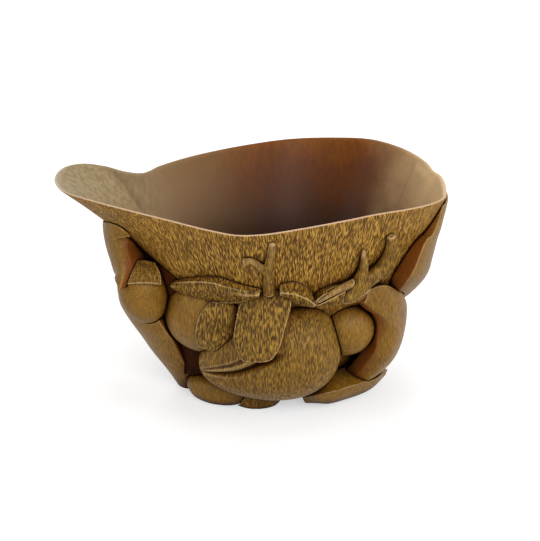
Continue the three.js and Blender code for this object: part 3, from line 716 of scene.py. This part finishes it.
class Nodes:
    """A short way to write a node tree."""

    def __init__(self, owner):
        owner.use_nodes = True
        self.tree = owner.node_tree
        self.tree.nodes.clear()

    def add(self, kind, **settings):
        node = self.tree.nodes.new(kind)
        for key, value in settings.items():
            setattr(node, key, value)
        return node

    def link(self, source, target):
        self.tree.links.new(source, target)

    def math(self, operation, a, b=None):
        node = self.add("ShaderNodeMath", operation=operation)
        for i, value in enumerate((a, b)):
            if value is None:
                continue
            if isinstance(value, (int, float)):
                node.inputs[i].default_value = value
            else:
                self.link(value, node.inputs[i])
        return node.outputs[0]

    def vector(self, operation, *values):
        node = self.add("ShaderNodeVectorMath", operation=operation)
        for socket, value in zip(node.inputs, values):
            if isinstance(value, tuple):
                socket.default_value = value
            else:
                self.link(value, socket)
        return node.outputs["Value" if operation == "LENGTH" else "Vector"]

    def seen(self):
        """1 for what the camera sees, straight or by reflection, and 0 for light that falls on things."""
        path = self.add("ShaderNodeLightPath")
        return self.math("MAXIMUM", path.outputs["Is Camera Ray"], path.outputs["Is Glossy Ray"])

    def mix(self, factor, a, b):
        node = self.add("ShaderNodeMix", data_type="RGBA")
        for socket, value in ((node.inputs[0], factor), (node.inputs[6], a), (node.inputs[7], b)):
            if isinstance(value, tuple):
                socket.default_value = (*value, 1)
            else:
                self.link(value, socket)
        return node.outputs[2]

    def ramp(self, value, stops):
        node = self.add("ShaderNodeValToRGB")
        elements = node.color_ramp.elements
        while len(elements) < len(stops):
            elements.new(0.5)
        for element, (at, colour) in zip(elements, stops):
            element.position = at
            element.color = (*colour, 1)
        self.link(value, node.inputs[0])
        return node.outputs[0]

    def noise(self, vector, scale, detail, roughness):
        node = self.add("ShaderNodeTexNoise")
        node.inputs["Scale"].default_value = scale
        node.inputs["Detail"].default_value = detail
        node.inputs["Roughness"].default_value = roughness
        self.link(vector, node.inputs["Vector"])
        return node.outputs["Fac"]

    def span(self, value, low, high, start=0.0, end=1.0, kind="LINEAR"):
        """Goes from start to end while a value goes from low to high."""
        node = self.add("ShaderNodeMapRange", interpolation_type=kind)
        for name, number in (("From Min", low), ("From Max", high), ("To Min", start), ("To Max", end)):
            node.inputs[name].default_value = number
        self.link(value, node.inputs["Value"])
        return node.outputs[0]

    def grooves(self, noise, width):
        """Thin wandering lines where a noise crosses its middle: 1 in a line, 0 beside it."""
        return self.span(self.math("ABSOLUTE", self.math("SUBTRACT", noise, 0.5)), width, 0.0)

    def hollows(self, distance, low, high):
        """1 where the surface is closed in within a distance, 0 where it is open."""
        node = self.add("ShaderNodeAmbientOcclusion", samples=12)
        node.inputs["Distance"].default_value = distance
        return self.span(node.outputs["AO"], high, low)

    def principled(self, colour, roughness, specular, height, strength, depth=0.0004):
        surface = self.add("ShaderNodeBsdfPrincipled")
        self.link(colour, surface.inputs["Base Color"])
        surface.inputs["Roughness"].default_value = roughness
        if isinstance(specular, float):
            surface.inputs["Specular IOR Level"].default_value = specular
        else:
            self.link(specular, surface.inputs["Specular IOR Level"])
        relief = self.add("ShaderNodeBump")
        relief.inputs["Strength"].default_value = strength
        relief.inputs["Distance"].default_value = depth
        self.link(height, relief.inputs["Height"])
        self.link(relief.outputs[0], surface.inputs["Normal"])
        output = self.add("ShaderNodeOutputMaterial")
        self.link(surface.outputs[0], output.inputs[0])

    def stretch(self, vector, scale):
        node = self.add("ShaderNodeMapping")
        node.inputs["Scale"].default_value = scale
        self.link(vector, node.inputs["Vector"])
        return node.outputs[0]


def srgb(r, g, b):
    """A colour read on the photograph, as a linear one."""
    return tuple((c / 255 / 12.92) if c <= 10 else ((c / 255 + 0.055) / 1.055) ** 2.4 for c in (r, g, b))


def sway(n, where, scale, reach):
    """Coordinates that wander a little, so that lines drawn from them are wavy."""
    drift = n.add("ShaderNodeTexNoise")
    drift.inputs["Scale"].default_value = scale
    drift.inputs["Detail"].default_value = 2
    n.link(where, drift.inputs["Vector"])
    return n.vector("MULTIPLY_ADD", drift.outputs["Color"], reach, where)


# The wall's radius at which its fibres are as close as the noise that draws them, in millimetres
FIBRE_RADIUS = 42.0

# How far the fibres and the cracks are drawn out upwards: the smaller the number, the longer the line
FIBRE_DRAWN = 0.16
CRACK_DRAWN = 0.05

# The fibres turn into dots between these distances from the axis, in metres
DOTS_FROM, DOTS_TO = 0.046, 0.062

# The scales of the noises that draw the horn, in cells to the metre
FIBRE_SCALE = 2900
GRAIN_SCALE = 2600
CRACK_SCALE = 300
PATCH_SCALE = 240
CLOUD_SCALE = 48

# How far round a point the painted shade looks for other surfaces, in metres
SEAM_REACH = 0.0018
CREVICE_REACH = 0.009
VOID_REACH = 0.022


def from_axis(n, where, shift):
    """Coordinates from the horn's axis, and the same with their height left out."""
    about = n.vector("SUBTRACT", where, (shift[0] * MM, shift[1] * MM, 0))
    return about, n.stretch(about, (1, 1, 0))


def fan(n, about, level, along):
    """Coordinates that change little upwards and outwards, so that lines fan out from the foot."""
    ring = (FIBRE_RADIUS * MM, FIBRE_RADIUS * MM, 0)
    held = n.stretch(about, (along * 0.6, along * 0.6, along))
    return n.vector("MULTIPLY_ADD", n.vector("NORMALIZE", level), ring, held)


def horn(name, tones, shift, hatch, roughness, bump, edge_wear_and_shading=0.6, fanned=False, turned=False, shine=0.2):
    """Horn: its fibres are fine lines, upright or fanned out, and dots far from the axis."""
    bright, light, middle, dark = tones
    material = bpy.data.materials.new(name)
    n = Nodes(material)
    where = n.add("ShaderNodeTexCoord").outputs["Object"]
    swayed = sway(n, where, 170, (0.0014, 0.0014, 0.001))
    about, level = from_axis(n, swayed, shift)
    lines = fan(n, about, level, FIBRE_DRAWN) if fanned else n.stretch(swayed, (1, 0.25, FIBRE_DRAWN))
    grain = n.noise(n.stretch(where, (1, 1, 0.5)), GRAIN_SCALE, 1.0, 0.5)
    outer = n.math("MULTIPLY", n.span(n.vector("LENGTH", level), DOTS_FROM, DOTS_TO), 0.75)
    fibres = n.mix(outer, n.noise(lines, FIBRE_SCALE, 0.0, 0.5), grain)
    cracks = n.grooves(n.noise(fan(n, about, level, CRACK_DRAWN), CRACK_SCALE, 1.0, 0.4), 0.018)
    small = n.noise(n.stretch(where, (1, 1, 0.5)), PATCH_SCALE, 2.0, 0.5)
    broad = n.noise(where, CLOUD_SCALE, 3.0, 0.55)
    depth = n.math("MAXIMUM", n.span(fibres, 0.56, 0.3), n.math("MULTIPLY", cracks, n.span(small, 0.45, 0.6)))
    colour = n.ramp(n.math("ADD", n.math("MULTIPLY", broad, 0.6), n.math("MULTIPLY", small, 0.4)),
                    [(0.36, middle), (0.62, light)])
    colour = n.mix(n.math("MULTIPLY", n.span(fibres, 0.5, 0.72), 0.8 * hatch), colour, bright)
    colour = n.mix(n.math("MULTIPLY", n.span(grain, 0.62, 0.34), 0.25), colour, dark)
    colour = n.mix(n.math("MULTIPLY", depth, 0.85 * hatch), colour, dark)
    if edge_wear_and_shading:
        # Pale edges are partly wear and partly a painted highlight; the dark in grooves is painted shade
        bend = n.add("ShaderNodeAttribute", attribute_name="bend").outputs["Fac"]
        colour = n.mix(n.math("MULTIPLY", n.span(bend, 0.25, 0.75), edge_wear_and_shading), colour, WORN_AND_HIGHLIT_EDGE)
        colour = n.mix(n.math("MULTIPLY", n.span(bend, -0.12, -0.6), 0.8), colour, CREVICE_SHADE_DARK)
    if turned:
        # Painted shade: sides that face the cup's middle are darkened to orange-brown
        axes = n.add("ShaderNodeSeparateXYZ")
        n.link(where, axes.inputs[0])
        facing = n.add("ShaderNodeSeparateXYZ")
        n.link(n.add("ShaderNodeNewGeometry").outputs["Normal"], facing.inputs[0])
        side = n.span(axes.outputs["X"], -0.01, 0.01, 1, -1)
        inward = n.math("MULTIPLY", facing.outputs["X"], side)
        colour = n.mix(n.math("MULTIPLY", n.span(inward, 0.1, 0.5), 0.85), colour, INWARD_SHADE_HORN)
    # Painted shade: reddish brown in crevices, near black in the seams between parts and in deep voids
    closed = n.hollows(CREVICE_REACH, 0.15, 0.75)
    colour = n.mix(n.math("MULTIPLY", closed, 0.8), colour, CREVICE_SHADE_RED)
    colour = n.mix(n.math("MULTIPLY", n.hollows(SEAM_REACH, 0.3, 0.85), 0.85), colour, CREVICE_SHADE_DARK)
    colour = n.mix(n.hollows(VOID_REACH, 0.1, 0.4), colour, VOID_SHADE_DARK)
    height = n.math("SUBTRACT", n.math("MULTIPLY", grain, 0.3), n.math("MULTIPLY", depth, hatch))
    height = n.math("ADD", height, n.math("MULTIPLY", small, 1.5))
    specular = n.math("MULTIPLY", n.math("SUBTRACT", 1.0, closed), shine)
    n.principled(colour, roughness, specular, height, bump)
    return material


def polished_inside(name, shift, front_rim_highlight=False):
    """The smooth inside: dark brown towards the bottom as painted shade, and greyish tan in the spout, on the
    left wall and at the other end as painted sheen.
    """
    material = bpy.data.materials.new(name)
    n = Nodes(material)
    where = n.add("ShaderNodeTexCoord").outputs["Object"]
    axes = n.add("ShaderNodeSeparateXYZ")
    n.link(where, axes.inputs[0])
    clouds = n.math("SUBTRACT", n.noise(where, 45, 4.0, 0.6), 0.5)
    streak = n.noise(n.stretch(sway(n, where, 60, (0.004, 0.004, 0.002)), (1, 1, 0.1)), 700, 2.0, 0.6)
    height = n.math("ADD", axes.outputs["Z"], n.math("MULTIPLY", clouds, 0.016))
    # Painted shade: the inside darkens towards its bottom
    colour = n.ramp(n.span(height, 0.03, 0.082), INSIDE_TONES)
    colour = n.mix(n.math("MULTIPLY", n.span(streak, 0.4, 0.62), 0.3), colour, STREAK_DARK)
    along = n.math("ADD", axes.outputs["X"], n.math("MULTIPLY", clouds, 0.02))

    def stretch_of_length(low, high, kind="LINEAR"):
        return n.span(along, (low + shift[0]) * MM, (high + shift[0]) * MM, kind=kind)

    # Painted sheen: greyish tan on the left wall, lighter tan in the spout and at the right end
    grey = n.math("MULTIPLY", stretch_of_length(*GREY_STRETCH, "SMOOTHSTEP"), n.span(height, 0.03, 0.07))
    spout = stretch_of_length(*SPOUT_STRETCH)
    lobe = stretch_of_length(*LOBE_STRETCH, "SMOOTHSTEP")
    tan = n.mix(n.span(streak, 0.36, 0.64), SPOUT_DARK, SPOUT_LIGHT)
    colour = n.mix(n.math("MULTIPLY", grey, 0.8), colour, GREY_SHEEN)
    colour = n.mix(n.math("MULTIPLY", spout, 0.95), colour, tan)
    colour = n.mix(lobe, colour, LOBE_TAN)
    # Painted highlight: the rim is pale on its front side only
    if front_rim_highlight:
        low, high = ((y + shift[1]) * MM for y in NEAR_STRETCH)
        near = n.span(axes.outputs["Y"], low, high)
        colour = n.mix(n.math("MULTIPLY", near, 0.9), colour, RIM_HIGHLIGHT)
    n.principled(colour, 0.4, 0.1, streak, 0.12, 0.0003)
    return material


BRIGHT_HORN = srgb(208, 162, 76)
LIGHT_HORN = srgb(164, 118, 38)
MIDDLE_HORN = srgb(134, 93, 22)
DARK_HORN = srgb(52, 30, 8)
# Pale edges: wear and a painted highlight
WORN_AND_HIGHLIT_EDGE = srgb(204, 170, 116)
# Painted shade in crevices, grooves, seams and voids
CREVICE_SHADE_RED = srgb(92, 44, 12)
CREVICE_SHADE_DARK = srgb(30, 15, 7)
VOID_SHADE_DARK = srgb(20, 10, 6)
# Painted shade on leaf sides that face the cup's middle
INWARD_SHADE_HORN = srgb(124, 66, 20)

# The inside, from its bottom to the rim, and towards its ends: the darkening towards the bottom is painted
# shade, and the grey and tan towards the ends are painted sheen
INSIDE_TONES = [
    (0.0, srgb(28, 15, 7)),
    (0.45, srgb(54, 27, 10)),
    (0.8, srgb(90, 46, 11)),
    (1.0, srgb(118, 66, 16)),
]
STREAK_DARK = srgb(56, 32, 16)
GREY_SHEEN = srgb(138, 110, 76)
SPOUT_DARK = srgb(134, 116, 86)
SPOUT_LIGHT = srgb(158, 140, 106)
LOBE_TAN = srgb(206, 174, 128)
# A painted highlight along the rim's front
RIM_HIGHLIGHT = srgb(198, 164, 130)

# Where these colours begin and where they are full, in millimetres from the horn's axis
GREY_STRETCH = (-4, -50)
SPOUT_STRETCH = (-42, -72)
LOBE_STRETCH = (30, 66)
NEAR_STRETCH = (-4, -24)


def make_materials(shift):
    tones = (BRIGHT_HORN, LIGHT_HORN, MIDDLE_HORN, DARK_HORN)
    deep = (srgb(180, 138, 56), srgb(136, 99, 28), srgb(112, 79, 18), srgb(46, 27, 6))
    # Painted shade: dark tones for the bud's leaf, which stands for the dark channel beside the bud
    painted_shade = (srgb(96, 50, 16), srgb(62, 29, 10), srgb(38, 18, 7), srgb(18, 9, 5))
    calm = (srgb(164, 126, 52), srgb(142, 103, 30), srgb(118, 83, 20), srgb(68, 40, 8))
    worn = dict(hatch=0.45, roughness=0.45, bump=0.35, edge_wear_and_shading=0.3)
    return {
        "wall": horn("horn_wall_hatched", tones, shift, hatch=1.0, roughness=0.58, bump=0.7, edge_wear_and_shading=0.0,
                     fanned=True),
        "fruit": horn("horn_fruit", deep, shift, hatch=0.7, roughness=0.52, bump=0.6),
        "leaf": horn("horn_leaf", deep, shift, hatch=1.0, roughness=0.55, bump=0.7, edge_wear_and_shading=0.65),
        "smooth": horn("horn_smooth", calm, shift, **worn),
        "turned": horn("horn_turned_leaf", calm, shift, turned=True, **worn),
        "painted_shade": horn("horn_stained", painted_shade, shift, hatch=0.3, roughness=0.6, bump=0.35, edge_wear_and_shading=0.0,
                        shine=0.03),
        "inside": polished_inside("horn_inside", shift),
        "rim": polished_inside("horn_rim", shift, front_rim_highlight=True),
    }


SMOOTH_PIECES = {"right_fruit", "left_fruit", "back_fruit", "bud", "right_foot_leaf", "left_foot_branch",
                 "back_foot_leaf", "back_foot_branch"}
TURNED_PIECES = {"curled_leaf", "left_base_leaf", "right_leaf", "outer_petal", "back_right_leaf",
                 "back_left_leaf"}
# The bud's leaf is coloured as painted shade
PAINTED_SHADE_PIECES = {"bud_leaf"}


def dress():
    lowest = min(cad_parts["bowl"].data.vertices, key=lambda v: v.co.z).co
    shift = (lowest.x / MM, lowest.y / MM)
    materials = make_materials(shift)
    verts, faces, rim_start = make_bowl()
    bowl = mesh_object("bowl_carved", verts, faces)
    place(bowl, shift)
    for key in ("wall", "rim", "inside"):
        bowl.data.materials.append(materials[key])
    for polygon in bowl.data.polygons:
        ring = (min(v for v in polygon.vertices) - 1) // MOUTH_STEPS
        polygon.material_index = int(ring > rim_start) + int(ring > rim_start + RIM_RINGS)
    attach(bowl, "root")
    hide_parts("bowl")
    pieces = make_motifs()
    kinds = {name: kind for name, kind, _ in MOTIFS}
    for name, piece in pieces.items():
        piece.name = name + "_carved"
        place(piece, shift)
        kind = kinds[name]
        look = "leaf" if kind == "leaf" else "fruit"
        for key, names in (("smooth", SMOOTH_PIECES), ("turned", TURNED_PIECES), ("painted_shade", PAINTED_SHADE_PIECES)):
            look = key if name in names else look
        piece.data.materials.clear()
        piece.data.materials.append(materials[look])
        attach(piece, "root")
        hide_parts(name)
    return shift


# Stage, lamps and camera

CAMERA_RISE = math.radians(24)
CAMERA_DISTANCE = 491.0
CAMERA_TARGET = (-5.8, 0.0, 44.5)
CAMERA_LENS = 85.0

# Metres
LAMP_SIZE = 0.6
FLOOR_WIDTH = 3.0

# Where each lamp stands, and its power in watts
LAMPS = [
    ("key", (0.35, -0.85, 0.6), 6.0),
    ("left", (-0.8, -0.4, 0.45), 2.4),
    ("right", (0.9, -0.3, 0.5), 3.2),
    ("top", (0.0, 0.15, 0.95), 3.4),
    ("back", (-0.2, 0.9, 0.45), 3.0),
]

# How strongly the world lights the cup
AMBIENT = 0.26


def make_camera(shift):
    data = bpy.data.cameras.new("photo_view")
    data.lens = CAMERA_LENS
    camera = bpy.data.objects.new("photo_view", data)
    back = Vector((0, -math.cos(CAMERA_RISE), math.sin(CAMERA_RISE)))
    target = Vector((CAMERA_TARGET[0] + shift[0], CAMERA_TARGET[1] + shift[1], CAMERA_TARGET[2]))
    camera.location = (target + back * CAMERA_DISTANCE) * MM
    camera.rotation_euler = (-back).to_track_quat("-Z", "Y").to_euler()
    data.clip_start = 0.01
    bpy.context.scene.collection.objects.link(camera)
    bpy.context.scene.camera = camera


def lamp(name, place_at, power):
    data = bpy.data.lights.new(name, "AREA")
    data.shape = "DISK"
    data.size = LAMP_SIZE
    data.energy = power
    obj = bpy.data.objects.new(name, data)
    obj.location = place_at
    obj.rotation_euler = (Vector((0, 0, 0.05)) - Vector(place_at)).to_track_quat("-Z", "Y").to_euler()
    bpy.context.scene.collection.objects.link(obj)


def make_stage():
    """A floor that takes the cup's shadow and is white farther off."""
    half = FLOOR_WIDTH / 2
    mesh = bpy.data.meshes.new("floor")
    ends = [(-half, -half, 0), (half, -half, 0), (half, half, 0), (-half, half, 0)]
    mesh.from_pydata(ends, [], [(0, 1, 2, 3)])
    floor = bpy.data.objects.new("floor", mesh)
    bpy.context.scene.collection.objects.link(floor)
    material = bpy.data.materials.new("pale_floor")
    n = Nodes(material)
    surface = n.add("ShaderNodeBsdfPrincipled")
    surface.inputs["Base Color"].default_value = (0.6, 0.6, 0.6, 1)
    surface.inputs["Roughness"].default_value = 0.9
    away = n.vector("LENGTH", n.add("ShaderNodeTexCoord").outputs["Object"])
    glow = n.add("ShaderNodeEmission")
    n.link(n.math("MULTIPLY", n.seen(), n.span(away, 0.25, 0.9, 0.5, 1.0)), glow.inputs["Strength"])
    both = n.add("ShaderNodeAddShader")
    n.link(surface.outputs[0], both.inputs[0])
    n.link(glow.outputs[0], both.inputs[1])
    output = n.add("ShaderNodeOutputMaterial")
    n.link(both.outputs[0], output.inputs[0])
    mesh.materials.append(material)


def make_world():
    """White where it is seen, and a weaker light on all things."""
    world = bpy.data.worlds.new("studio")
    bpy.context.scene.world = world
    n = Nodes(world)
    background = n.add("ShaderNodeBackground")
    background.inputs["Color"].default_value = (1, 1, 1, 1)
    n.link(n.span(n.seen(), 0.0, 1.0, AMBIENT, 1.0), background.inputs["Strength"])
    output = n.add("ShaderNodeOutputWorld")
    n.link(background.outputs[0], output.inputs[0])


frame_shift = dress()
make_camera(frame_shift)
make_stage()
make_world()
for lamp_name, lamp_at, lamp_power in LAMPS:
    lamp(lamp_name, lamp_at, lamp_power)
bpy.context.scene.view_settings.view_transform = "Standard"
